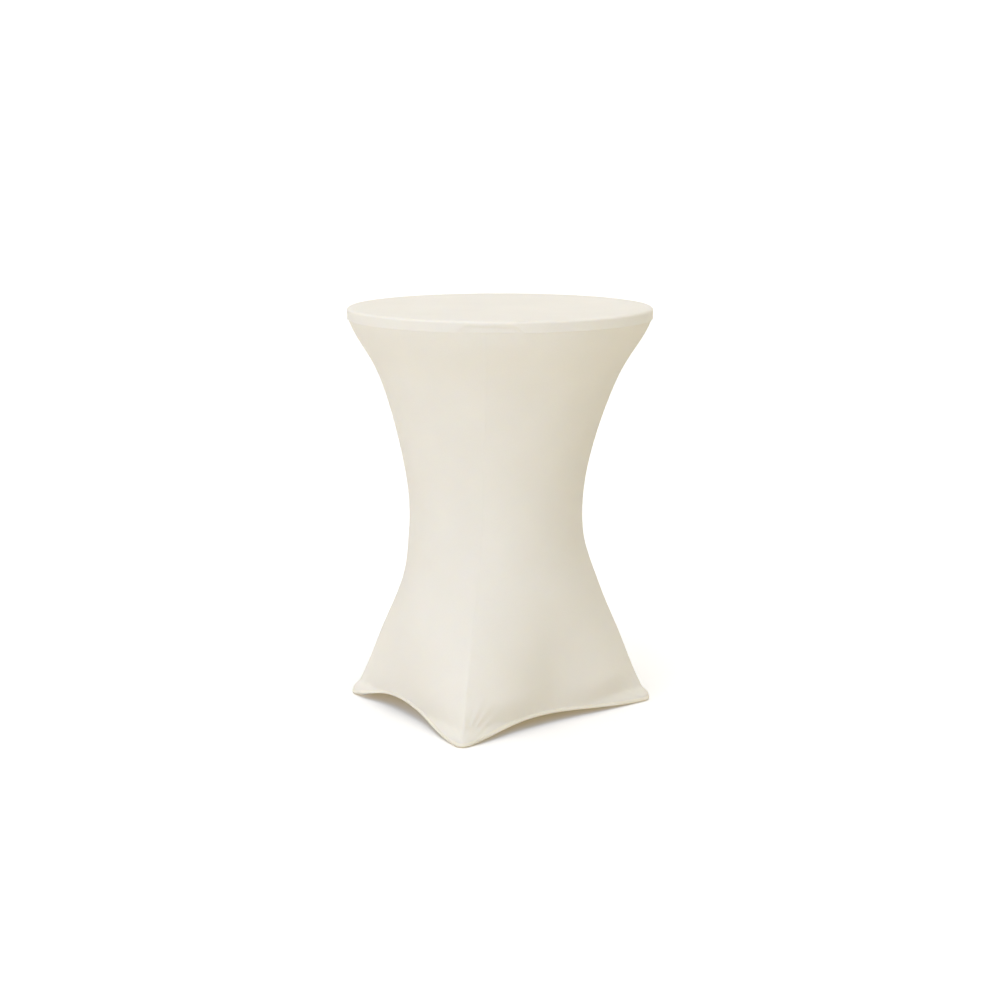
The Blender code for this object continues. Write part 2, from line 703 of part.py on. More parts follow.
def washer(name, y_low, y_high, radius, sides=TUBE_SIDES):
    """A ring along Y round the pivot bolt, or a nut when it has six sides."""
    bore = BOLT_RADIUS + BOLT_PLAY
    bm = bmesh.new()
    rings = []
    for y, size in ((y_low, radius), (y_high, radius), (y_high, bore), (y_low, bore)):
        ring = []
        for i in range(sides * 2):
            turn = 2 * math.pi * i / (sides * 2)
            fold = math.pi / sides
            flat = math.cos(fold) / math.cos((turn % (2 * fold)) - fold)
            reach = size * flat if size == radius else size / math.cos(fold / 2)
            ring.append(bm.verts.new((reach * math.cos(turn), y, reach * math.sin(turn))))
        rings.append(ring)
    for near, far in zip(rings, rings[1:] + rings[:1]):
        for i in range(sides * 2):
            j = (i + 1) % (sides * 2)
            bm.faces.new((near[i], near[j], far[j], far[i]))
    return mesh_from(bm, name)


def main():
    clear_scene()
    fabric = make_material("ivory_stretch_knit", (0.86, 0.83, 0.74), 0.85)
    elastic = make_material("ivory_elastic", (0.88, 0.85, 0.77), 0.8)
    plastic = make_material("white_granite_hdpe", (0.78, 0.78, 0.76), 0.55)
    nylon = make_material("grey_nylon", (0.12, 0.12, 0.13), 0.5)
    steel = make_material("grey_powder_coat", (0.28, 0.29, 0.30), 0.45, 0.3)
    rubber = make_material("black_rubber", (0.02, 0.02, 0.02), 0.8)
    zinc = make_material("zinc_plated_steel", (0.62, 0.62, 0.60), 0.35, 1.0)

    cover_axis = add_axis("cover_lift_axis", (0, 0, TABLE_HEIGHT))
    tilt_axis = add_axis("top_tilt_axis", (-BAR_X, 0, BAR_HEIGHT))
    fold_axis = add_axis("scissor_fold_axis", (0, 0, PIVOT_HEIGHT))
    outer_axis = add_axis("outer_frame_base", (0, 0, 0))

    build_cover(fabric, elastic, cover_axis)
    build_top(plastic, nylon, zinc, tilt_axis)
    build_frame("outer", 1, OUTER_PIVOT_Y, steel, rubber, outer_axis)
    build_frame("inner", -1, INNER_PIVOT_Y, steel, rubber, fold_axis)
    for y_name, sign_y in (("front", -1), ("back", 1)):
        build_pivot(y_name, sign_y, zinc, nylon, outer_axis)


main()
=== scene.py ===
"""A stretch cover drawn tight over a folding standing table.

Metres, +Z up, in the same frame as the table's solids: the floor is z = 0 under the middle of the
top, +X is the way the crossed legs fold and -Y is the front. The cloth pieces are built here in
place of the plain cloth solids; the table inside keeps its solids and gets its finishes.
"""

import json
import math

import bmesh
import bpy
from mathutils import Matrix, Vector

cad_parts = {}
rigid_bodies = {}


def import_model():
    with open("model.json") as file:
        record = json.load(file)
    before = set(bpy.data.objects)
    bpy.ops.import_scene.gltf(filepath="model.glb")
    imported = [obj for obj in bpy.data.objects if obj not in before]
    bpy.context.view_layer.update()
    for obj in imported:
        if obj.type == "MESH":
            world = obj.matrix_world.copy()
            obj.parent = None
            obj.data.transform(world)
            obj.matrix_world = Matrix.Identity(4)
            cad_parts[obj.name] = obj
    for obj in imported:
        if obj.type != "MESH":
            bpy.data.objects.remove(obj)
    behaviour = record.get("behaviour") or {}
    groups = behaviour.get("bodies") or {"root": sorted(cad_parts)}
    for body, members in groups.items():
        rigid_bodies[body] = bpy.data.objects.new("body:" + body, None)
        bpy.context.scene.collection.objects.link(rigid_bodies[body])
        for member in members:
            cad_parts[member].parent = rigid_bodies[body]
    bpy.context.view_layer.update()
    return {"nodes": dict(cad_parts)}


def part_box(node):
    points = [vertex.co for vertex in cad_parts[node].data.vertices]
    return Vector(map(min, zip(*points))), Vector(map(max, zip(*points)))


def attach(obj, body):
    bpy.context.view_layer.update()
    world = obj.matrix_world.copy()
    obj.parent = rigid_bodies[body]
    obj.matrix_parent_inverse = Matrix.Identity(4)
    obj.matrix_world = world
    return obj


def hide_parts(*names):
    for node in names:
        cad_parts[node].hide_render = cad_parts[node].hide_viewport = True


bl_info = {
    "name": "Stretch cover on a standing table",
    "version": (1, 0, 0),
    "blender": (4, 5, 0),
    "location": "3D View > Sidebar > Stretch Cover",
    "description": "Builds the cloth, the finishes and the studio of a covered standing table",
    "category": "Object",
}

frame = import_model()

# Places read from the table's solids.
COVER_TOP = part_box("cover_top_panel")
RIM_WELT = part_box("rim_welt")
CORNER_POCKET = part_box("foot_pocket_back_right")
SEAM_HEIGHT = (RIM_WELT[0].z + RIM_WELT[1].z) / 2

# Distance from the axis to the cloth above a foot, at heights up the skirt.
MERIDIAN = (
    (0.0, 0.4190),
    (0.1, 0.3719),
    (0.2, 0.3319),
    (0.3, 0.2884),
    (0.4, 0.2556),
    (0.5, 0.2395),
    (0.6, 0.2413),
    (0.72, 0.2623),
    (0.86, 0.3024),
    (0.97, 0.3511),
    (1.03, 0.3884),
    (1.0717, 0.4078),
)

# The way the camera faces, over the floor.
HEADING = (0.5875, 0.8092)

# A gore between two feet: how far its middle sits inside the line of the feet, how softly that
# meets the round waist, where it starts to lie flat going down, and over what height. The hem's
# bow is gone at BOW_FADE.
PANEL_INSET, PANEL_SOFTNESS = 0.008, 0.03
PANEL_TOP, PANEL_CHANGE = 0.55, 0.165
BOW_FADE = 0.165

# How full the cloth stands beside a ridge, where that starts, and the height it takes.
FULLNESS, FULL_FROM, FULL_OVER = 0.6, 0.010, 0.095

# The cloth stands up over a foot to this height, then leans in over the next stretch.
BOOT_HEIGHT, BOOT_LEAN = 0.012, 0.030

# The seams wander round from the feet in two stages: (degrees, where it starts, height it takes).
SEAM_TWIST = ((5.9, 0.24, 0.36), (2.7, 0.5, 0.57))

# The grip notch in the top's rim: its middle, its height over the seam, half its width at the seam,
# how much that narrows over its height, and its soft ends. Its edges are in shares of its height:
# the upper one (place, softness) above the seam, and how far the lower one runs out below it.
GRIP_ANGLE = math.radians(-129.6)
GRIP_HEIGHT, GRIP_HALF, GRIP_TAPER, GRIP_SOFT = 0.0175, 0.0780, 0.020, 0.011
GRIP_UPPER, GRIP_LOWER = (1.05, 0.40), 1.9
# Nothing of the notch shows further than this below the seam.
GRIP_REACH = 0.05

# The waist sits to the camera's left: it starts here, comes in over this height, and is gone again
# over this height under the seam.
WAIST_FROM, WAIST_RISE, WAIST_FALL = 0.33, 0.16, 0.45

# The hem: its height at a foot, how far the arch's crown leans to one foot, and its roundness.
HEM_CLEARANCE, HEM_SKEW, HEM_ARCH = 0.0020, 0.25, 1.3

# Across a seam, its furrow and the lip beside it: (height, distance from the seam, width).
SEAM_SHAPES = ((-0.0003, 0.0, 0.0010), (0.0001, 0.0026, 0.0012))

# Distances from a foot: the folds end here, and come in and go out as (place, softness).
FOLD_REACH, FOLD_START, FOLD_END = 0.15, (0.026, 0.02), (0.14, 0.12)

# The crease on the near foot's seam: depth, width, and its ends up the seam as (height, softness).
CREASE_DEPTH, CREASE_WIDTH = 0.0026, 0.0024
CREASE_BOTTOM, CREASE_TOP = (0.024, 0.010), (0.066, 0.02)

# One wall of the folded hem bands and of the foot pockets.
BAND_WALL = 0.0008

# How deep the rim seam sits in the cloth.
WELT_SUNK = 0.0006

# The four gores of the skirt: which way each faces, and the feet that it runs between.
GORES = {
    "right": {"facing": 0.0, "along": "X"},
    "back": {"facing": math.pi / 2, "along": "Y"},
    "left": {"facing": math.pi, "along": "X"},
    "front": {"facing": -math.pi / 2, "along": "Y"},
}


def length(name, default, description):
    """A setting that is a length."""
    return bpy.props.FloatProperty(
        name=name, description=description, default=default, unit="LENGTH"
    )


class CoverSizes(bpy.types.PropertyGroup):
    """Sizes of the cloth."""

    cover_radius: length(
        "Cover radius", COVER_TOP[1].x + 0.0045, "Outer radius of the cloth round the top's rim"
    )
    table_height: length(
        "Table height", COVER_TOP[1].z, "Height of the covered top over the floor"
    )
    seam_height: length(
        "Rim seam height", SEAM_HEIGHT, "Height of the seam between the top panel and the skirt"
    )
    foot_half_x: length(
        "Foot half spread X", CORNER_POCKET[1].x,
        "Half the outer distance between the feet, the way the table folds",
    )
    foot_half_y: length(
        "Foot half spread Y", CORNER_POCKET[1].y,
        "Half the outer distance between the feet, along the pivot",
    )
    boot_half_x: length(
        "Boot half spread X", CORNER_POCKET[1].x + 0.0062,
        "Half the distance across the cloth at two feet, the way the table folds",
    )
    boot_half_y: length(
        "Boot half spread Y", CORNER_POCKET[1].y + 0.0082,
        "Half the distance across the cloth at two feet, along the pivot",
    )
    boot_round: length(
        "Boot rounding", 0.026, "Radius of the cloth round a foot, at the floor"
    )
    cloth: length(
        "Cloth thickness", 0.0011, "Thickness of the stretch knit as it is modelled"
    )
    rim_rounding: length(
        "Rim rounding", 0.007, "Radius of the cloth over the top's edge"
    )
    welt_radius: length(
        "Welt radius", 0.0009, "Radius of the raised seam round the rim"
    )
    waist_shift: length(
        "Waist shift", 0.011, "How far the waist sits off the table's axis, as it was pulled on"
    )
    hem_band: length(
        "Hem band", 0.010, "Height of the elastic band turned into the lower edge"
    )
    hem_lift_x: length(
        "Hem lift, end gores", 0.0395,
        "How far the hem rises over the floor in the middle of the end gores",
    )
    hem_lift_y: length(
        "Hem lift, long gores", 0.028,
        "How far the hem rises over the floor in the middle of the long gores",
    )
    hem_bow_x: length(
        "Hem bow, end gores", 0.0232, "How far the hem draws in between the feet of the end gores"
    )
    hem_bow_y: length(
        "Hem bow, long gores", 0.012, "How far the hem draws in between the feet of the long gores"
    )
    grip_depth: length(
        "Grip dip depth", 0.0034, "How far the cloth sinks into the grip notch of the rim"
    )
    wrinkle: length(
        "Foot wrinkles", 0.0019, "Height of the small folds that run up from each foot"
    )


class FinishColours(bpy.types.PropertyGroup):
    """Colours of the finishes, as sRGB hex values."""

    knit: bpy.props.StringProperty(
        name="Stretch knit", description="Ivory knit of the cover", default="F2ECDF"
    )
    # The hem's colour is the knit's painted lighter: a painted highlight along the band.
    hem: bpy.props.StringProperty(
        name="Hem elastic", description="Knit folded over the elastic", default="FBF4E1"
    )
    moulded_top: bpy.props.StringProperty(
        name="Moulded top", description="Blow-moulded polyethylene", default="DAD8D0"
    )
    nylon: bpy.props.StringProperty(
        name="Nylon", description="Saddles and rests under the top", default="2B2C2E"
    )
    powder: bpy.props.StringProperty(
        name="Powder coat", description="Tubes of the crossed frames", default="6E7073"
    )
    rubber: bpy.props.StringProperty(
        name="Rubber", description="Foot caps", default="232323"
    )
    zinc: bpy.props.StringProperty(
        name="Zinc plate", description="Bolts, nuts and screws", default="B9BCC2"
    )


class StudioSettings(bpy.types.PropertyGroup):
    """Camera, lights and floor."""

    camera_place: bpy.props.FloatVectorProperty(
        name="Camera", description="Where the camera stands", default=(-2.493, -3.434, 1.492),
        subtype="TRANSLATION",
    )
    camera_pitch: bpy.props.FloatProperty(
        name="Pitch", description="How far the camera looks down", default=math.radians(12.30),
        subtype="ANGLE",
    )
    lens: bpy.props.FloatProperty(
        name="Lens", description="Focal length in millimetres", default=56.7,
        subtype="DISTANCE_CAMERA",
    )
    key_power: bpy.props.FloatProperty(
        name="Key light", description="Strength of the low, broad key light", default=1.62
    )
    horizon: bpy.props.FloatProperty(
        name="Walls", description="Brightness of the white walls round the floor", default=1.12
    )
    sky: bpy.props.FloatProperty(
        name="Fill", description="Brightness between the walls and the overhead light", default=0.25
    )
    overhead: bpy.props.FloatProperty(
        name="Overhead", description="Brightness of the light overhead", default=2.45
    )


# Small helpers.


def linear(hex_colour):
    """An sRGB hex value as linear colour with full alpha."""
    parts = [int(hex_colour[i : i + 2], 16) / 255 for i in (0, 2, 4)]
    turned = [p / 12.92 if p <= 0.04045 else ((p + 0.055) / 1.055) ** 2.4 for p in parts]
    return (*turned, 1.0)


def add_node(tree, kind, settings=None, links=None):
    """Adds one node: settings are its properties or its sockets' values, links feed its sockets."""
    node = tree.nodes.new(kind)
    for name, value in (settings or {}).items():
        if isinstance(name, str) and hasattr(node, name):
            setattr(node, name, value)
        else:
            node.inputs[name].default_value = value
    for name, (source, output) in (links or {}).items():
        tree.links.new(source.outputs[output], node.inputs[name])
    return node


def new_material(name):
    """An empty node material and its output node."""
    material = bpy.data.materials.new(name)
    material.use_nodes = True
    tree = material.node_tree
    tree.nodes.clear()
    output = add_node(tree, "ShaderNodeOutputMaterial")
    return material, tree, output


def deselect_all():
    """Nothing is selected and nothing is active afterwards."""
    for obj in bpy.context.view_layer.objects:
        obj.select_set(False)
    bpy.context.view_layer.objects.active = None


def make_active(obj):
    """Only this piece is selected, and it is the active one."""
    deselect_all()
    obj.select_set(True)
    bpy.context.view_layer.objects.active = obj


def smooth_step(value):
    """0 below 0, 1 above 1, and a smooth rise between."""
    value = min(1.0, max(0.0, value))
    return value * value * (3 - 2 * value)


def second_derivatives(points):
    """Second derivatives of the natural cubic spline at its points."""
    count = len(points)
    seconds, carried = [0.0] * count, [0.0] * count
    for i in range(1, count - 1):
        span = points[i + 1][0] - points[i - 1][0]
        share = (points[i][0] - points[i - 1][0]) / span
        weight = share * seconds[i - 1] + 2
        seconds[i] = (share - 1) / weight
        after = (points[i + 1][1] - points[i][1]) / (points[i + 1][0] - points[i][0])
        before = (points[i][1] - points[i - 1][1]) / (points[i][0] - points[i - 1][0])
        carried[i] = (6 * (after - before) / span - share * carried[i - 1]) / weight
    for i in range(count - 2, -1, -1):
        seconds[i] = seconds[i] * seconds[i + 1] + carried[i]
    return seconds


def spline(points, seconds, at):
    """A natural cubic spline through (place, value) points, read at one place."""
    low = 0
    for i in range(len(points) - 1):
        if at >= points[i][0]:
            low = i
    (x0, y0), (x1, y1) = points[low], points[low + 1]
    step = x1 - x0
    a, b = (x1 - at) / step, (at - x0) / step
    bend = (a**3 - a) * seconds[low] + (b**3 - b) * seconds[low + 1]
    return a * y0 + b * y1 + bend * step * step / 6


# The skirt's shape.

MERIDIAN_BENDS = second_derivatives(MERIDIAN)


def ridge_radius(height):
    """Distance from the axis to the cloth above a foot, at a height."""
    return spline(MERIDIAN, MERIDIAN_BENDS, max(0.0, height))


def gore_half(sizes, gore):
    """(distance from the axis to the line of feet, half its length, hem bow, hem lift)."""
    if gore["along"] == "X":
        return sizes.foot_half_x, sizes.foot_half_y, sizes.hem_bow_x, sizes.hem_lift_x
    return sizes.foot_half_y, sizes.foot_half_x, sizes.hem_bow_y, sizes.hem_lift_y


def seam_angle(sizes, gore):
    """Angle at the axis from the middle of a gore to its seam."""
    foot_half, side_half, _, _ = gore_half(sizes, gore)
    return math.atan2(side_half, foot_half)


def boot_half(sizes, gore):
    """(distance from the axis to the cloth's side at two feet, half its length)."""
    if gore["along"] == "X":
        return sizes.boot_half_x, sizes.boot_half_y
    return sizes.boot_half_y, sizes.boot_half_x


def side_radius(height, foot_half, floor_middle):
    """Distance from the axis to the middle of a gore, which is drawn flat between two feet."""
    ridge = ridge_radius(height)
    panel = foot_half - PANEL_INSET
    flat = 0.5 * (ridge + panel - math.hypot(ridge - panel, PANEL_SOFTNESS))
    below = smooth_step((PANEL_TOP - height) / PANEL_CHANGE)
    near_floor = max(0.0, 1 - height / BOW_FADE)
    return ridge + (flat - ridge) * below - (panel - floor_middle) * near_floor**2


def floor_radius(sizes, gore, angle):
    """Distance to the cloth at the floor: round over each foot, drawn in between two feet."""
    half, side = boot_half(sizes, gore)
    corner = sizes.boot_round
    along = half * math.tan(abs(angle))
    if along > side - corner:
        centre = Vector((half - corner, side - corner))
        ray = Vector((math.cos(angle), abs(math.sin(angle))))
        across = centre.dot(ray)
        return across + math.sqrt(max(0.0, across**2 - centre.length_squared + corner**2))
    bow = gore_half(sizes, gore)[2] * math.cos(along / (side - corner) * math.pi / 2) ** 2
    return (half - bow) / math.cos(angle)


def side_at(sizes, azimuth):
    """The gore's side of the table at an azimuth, and the angle from that side's middle."""
    for gore in GORES.values():
        angle = (azimuth - gore["facing"] + math.pi) % math.tau - math.pi
        if abs(angle) <= seam_angle(sizes, gore):
            return gore, angle
    raise ValueError("no side of the table at this azimuth")


def skirt_radius(sizes, azimuth, height):
    """Distance from the axis to the cloth's outer face, at an azimuth and a height."""
    gore, angle = side_at(sizes, azimuth)
    foot_half, _, bow, _ = gore_half(sizes, gore)
    half_angle = seam_angle(sizes, gore)
    share = angle / half_angle
    middle = side_radius(height, foot_half, boot_half(sizes, gore)[0] - bow)
    ridge = ridge_radius(height)
    taut = (1 / math.cos(angle) - 1) / (1 / math.cos(half_angle) - 1)
    full = (1 - math.cos(math.pi * share)) / 2
    outwards = taut + (full - taut) * FULLNESS * smooth_step((height - FULL_FROM) / FULL_OVER)
    skirt = middle + (ridge - middle) * outwards
    # the cloth stands over the foot, then leans in with the leg
    booted = 1 - smooth_step((height - BOOT_HEIGHT) / BOOT_LEAN)
    return skirt + (floor_radius(sizes, gore, angle) - skirt) * booted


def seam_twist(height):
    """How far the seams have wandered round from the feet, going up: the knit is drawn askew."""
    turned = sum(turn * smooth_step((height - start) / rise) for turn, start, rise in SEAM_TWIST)
    return math.radians(turned)


def grip_share(sizes, azimuth, height):
    """1 in the middle of the grip notch in the rim, 0 away from it, with soft ends."""
    turn = (azimuth - GRIP_ANGLE + math.pi) % math.tau - math.pi
    rise = (height - sizes.seam_height) / GRIP_HEIGHT
    half = GRIP_HALF - GRIP_TAPER * max(0.0, rise)
    ends = smooth_step((half - abs(turn) * sizes.cover_radius) / GRIP_SOFT + 0.5)
    upper = smooth_step((GRIP_UPPER[0] - rise) / GRIP_UPPER[1])
    return ends * upper * smooth_step((rise + GRIP_LOWER) / GRIP_LOWER)


def waist_offset(sizes, height):
    """How far the cloth sits to one side at a height: the cover isn't pulled on quite straight."""
    rise = smooth_step((height - WAIST_FROM) / WAIST_RISE)
    fall = smooth_step((sizes.seam_height - height) / WAIST_FALL)
    amount = sizes.waist_shift * rise * fall
    return Vector((-HEADING[1] * amount, HEADING[0] * amount, 0))


def hem_height(sizes, gore, share):
    """Height of the hem's lower edge over the floor, at a share of a gore's width."""
    foot_half, side_half, _, lift = gore_half(sizes, gore)
    _, side = boot_half(sizes, gore)
    along = math.tan(share * math.atan2(side_half, foot_half)) * foot_half / side_half
    along = max(-1.0, min(1.0, along * side / (side - sizes.boot_round)))
    # the hem rides up more towards one foot, as the cover was pulled on
    along += HEM_SKEW * (1 - along**2)
    return HEM_CLEARANCE + lift * max(0.0, math.cos(along * math.pi / 2)) ** HEM_ARCH


def fold_pattern(angle, folds):
    """Small ridges at some directions round a foot: each is (direction, width, height)."""
    total = 0.0
    for direction, width, height in folds:
        total += height * math.exp(-(((angle - direction) / width) ** 2))
    return total


# Folds run up from each foot at these directions from the floor: (degrees, width, height).
FOLDS = {
    "front": (
        (20, 3, 0.9), (29, 3, -1.0), (38, 3, 1.0), (47, 3, -1.1), (55, 2.5, 1.1), (62, 2.5, -1.1),
        (69, 2.5, 0.9), (77, 3, -1.1),
    ),
    "left": ((30, 6, 0.6), (44, 5, -0.5), (60, 6, 0.5), (74, 5, -0.3)),
    "right": ((28, 6, 0.6), (41, 5, -0.6), (56, 5, 0.5), (72, 5, -0.3)),
    "back": ((26, 5, 0.7), (38, 5, -0.6), (52, 5, 0.6), (66, 5, -0.4)),
}


# The two gores that meet over the near foot, and the sign of the share on that side.
NEAR_FOOT = {"front": -1, "left": 1}


def skirt_relief(sizes, name, gore, share, height):
    """Height of the small shapes on the cloth: the seam's furrow and the folds at the feet."""
    from_seam = (1 - abs(share)) * seam_angle(sizes, gore) * ridge_radius(height)
    relief = 0.0
    for tall, place, wide in SEAM_SHAPES:
        relief += tall * math.exp(-(((from_seam - place) / wide) ** 2))
    far = math.hypot(from_seam, height)
    if far < FOLD_REACH:
        direction = math.degrees(math.atan2(height, from_seam))
        strength = smooth_step((far - FOLD_START[0]) / FOLD_START[1])
        strength *= smooth_step((FOLD_END[0] - far) / FOLD_END[1])
        folds = FOLDS[name]
        if share > 0:
            folds = tuple((d + 4, w, -h * 0.8) for d, w, h in folds)
        if name == "front" and share < 0:
            strength *= 1.5
        relief += sizes.wrinkle * strength * fold_pattern(direction, folds)
        if name in NEAR_FOOT and share * NEAR_FOOT[name] > 0:
            # a short crease stands on the seam of the near foot
            crease = smooth_step((height - CREASE_BOTTOM[0]) / CREASE_BOTTOM[1])
            crease *= smooth_step((CREASE_TOP[0] - height) / CREASE_TOP[1])
            relief -= CREASE_DEPTH * crease * math.exp(-((from_seam / CREASE_WIDTH) ** 2))
    return relief


def skirt_point(sizes, name, gore, share, height, proud=0.0):
    """A point on the cloth's outer face."""
    azimuth = gore["facing"] + share * seam_angle(sizes, gore) + seam_twist(height)
    radius = skirt_radius(sizes, azimuth, height) + proud
    radius += skirt_relief(sizes, name, gore, share, height)
    if height > sizes.seam_height - GRIP_REACH:
        radius -= sizes.grip_depth * grip_share(sizes, azimuth, height)
    place = Vector((radius * math.cos(azimuth), radius * math.sin(azimuth), height))
    return place + waist_offset(sizes, height)


# Cloth meshes.


def cloth_from_grid(name, rows, uvs, closed=False):
    """A sheet of cloth through a grid of points: open at its sides, or closed into a ring."""
    mesh = bpy.data.meshes.new(name)
    bm = bmesh.new()
    grid = [[bm.verts.new(point) for point in row] for row in rows]
    layer = bm.loops.layers.uv.new("UVMap")
    width = len(rows[0])
    for r in range(len(rows) - 1):
        for i in range(width if closed else width - 1):
            j = (i + 1) % width
            face = bm.faces.new((grid[r][i], grid[r + 1][i], grid[r + 1][j], grid[r][j]))
            places = ((r, i), (r + 1, i), (r + 1, i + 1), (r, i + 1))
            for loop, (row, column) in zip(face.loops, places):
                loop[layer].uv = uvs(row, column)
    bm.to_mesh(mesh)
    bm.free()
    obj = bpy.data.objects.new(name, mesh)
    bpy.context.scene.collection.objects.link(obj)
    return obj


def fill_middle(obj, upwards):
    """Closes the small ring left in the middle of a disc of cloth."""
    bm = bmesh.new()
    bm.from_mesh(obj.data)
    layer = bm.loops.layers.uv.active
    level = (max if upwards else min)(v.co.z for v in bm.verts if v.is_boundary)
    ring = [e for e in bm.edges if e.is_boundary and abs(e.verts[0].co.z - level) < 0.0005]
    made = bmesh.ops.contextual_create(bm, geom=ring)
    for face in made["faces"]:
        if (face.normal.z > 0) != upwards:
            face.normal_flip()
        for loop in face.loops:
            loop[layer].uv = loop.vert.co.xy
    bm.to_mesh(obj.data)
    bm.free()


def thicken(obj, thickness):
    """Gives a sheet its thickness inwards and shades it smooth."""
    make_active(obj)
    solidify = obj.modifiers.new("thickness", "SOLIDIFY")
    solidify.thickness = thickness
    solidify.offset = -1.0
    bpy.ops.object.modifier_apply(modifier=solidify.name)
    bpy.ops.object.shade_smooth_by_angle(angle=math.radians(50))


def finish_piece(obj, material, body="cover"):
    """Gives a piece its material and body."""
    obj.data.materials.clear()
    obj.data.materials.append(material)
    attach(obj, body)


# Materials.


def stretch_knit(colour):
    """Polyester and elastane jersey, circular-knit and heat-set: a matt, even face with fine
    upright wales, a soft bloom at grazing angles, and a little light coming through."""
    material, tree, output = new_material("Polyester-elastane jersey, circular-knit")
    cloth = add_node(tree, "ShaderNodeUVMap", {"uv_map": "UVMap"})
    # Real wales stand about 0.6 mm apart; they are drawn 2.0 mm apart, or they wouldn't show.
    wales = add_node(
        tree, "ShaderNodeTexWave",
        {"wave_type": "BANDS", "bands_direction": "X", "Scale": math.tau / (20 * 0.0020),
         "Distortion": 0.6, "Detail": 1.0, "Detail Scale": 2.0},
        {"Vector": (cloth, "UV")},
    )
    # Real courses stand about 0.4 mm apart; they are drawn 1.4 mm apart.
    courses = add_node(
        tree, "ShaderNodeTexWave",
        {"wave_type": "BANDS", "bands_direction": "Y", "Scale": math.tau / (20 * 0.0014),
         "Distortion": 0.8, "Detail": 1.0, "Detail Scale": 2.0},
        {"Vector": (cloth, "UV")},
    )
    stitches = add_node(
        tree, "ShaderNodeMath", {"operation": "MULTIPLY"}, {0: (wales, "Fac"), 1: (courses, "Fac")}
    )
    # Filament yarn takes the dye a little unevenly, over a few millimetres.
    yarn = add_node(
        tree, "ShaderNodeTexNoise",
        {"Scale": 260.0, "Detail": 3.0, "Roughness": 0.6},
        {"Vector": (cloth, "UV")},
    )
    # The knit is thinner where it is drawn harder: broad, faint clouds 0.2 m across.
    clouds = add_node(
        tree, "ShaderNodeTexNoise",
        {"Scale": 5.0, "Detail": 2.0, "Roughness": 0.5},
        {"Vector": (cloth, "UV")},
    )
    base = linear(colour)
    dark = tuple(c * 0.955 for c in base[:3]) + (1.0,)
    mixed = add_node(
        tree, "ShaderNodeMix",
        {"data_type": "RGBA", "blend_type": "MIX"},
    )
    mixed.inputs[6].default_value = dark
    mixed.inputs[7].default_value = base
    sum_up = add_node(
        tree, "ShaderNodeMath",
        {"operation": "MULTIPLY_ADD", 1: 0.55},
        {0: (yarn, "Fac"), 2: (clouds, "Fac")},
    )
    share = add_node(
        tree, "ShaderNodeMapRange",
        {"From Min": 0.45, "From Max": 1.05, "To Min": 0.0, "To Max": 1.0},
        {"Value": (sum_up, "Value")},
    )
    tree.links.new(share.outputs["Result"], mixed.inputs[0])
    bump = add_node(
        tree, "ShaderNodeBump",
        {"Strength": 0.30, "Distance": 0.00025},
        {"Height": (stitches, "Value")},
    )
    slub = add_node(
        tree, "ShaderNodeBump",
        {"Strength": 0.15, "Distance": 0.0006},
        {"Height": (clouds, "Fac"), "Normal": (bump, "Normal")},
    )
    shader = add_node(
        tree, "ShaderNodeBsdfPrincipled",
        {"Roughness": 0.82, "IOR": 1.5, "Specular IOR Level": 0.28, "Sheen Weight": 0.22,
         "Sheen Roughness": 0.5, "Sheen Tint": (1.0, 0.98, 0.94, 1.0),
         "Subsurface Weight": 0.25, "Subsurface Radius": (0.0030, 0.0022, 0.0012),
         "Subsurface Scale": 1.0},
        {"Normal": (slub, "Normal")},
    )
    tree.links.new(mixed.outputs[2], shader.inputs["Base Color"])
    tree.links.new(shader.outputs["BSDF"], output.inputs["Surface"])
    return material


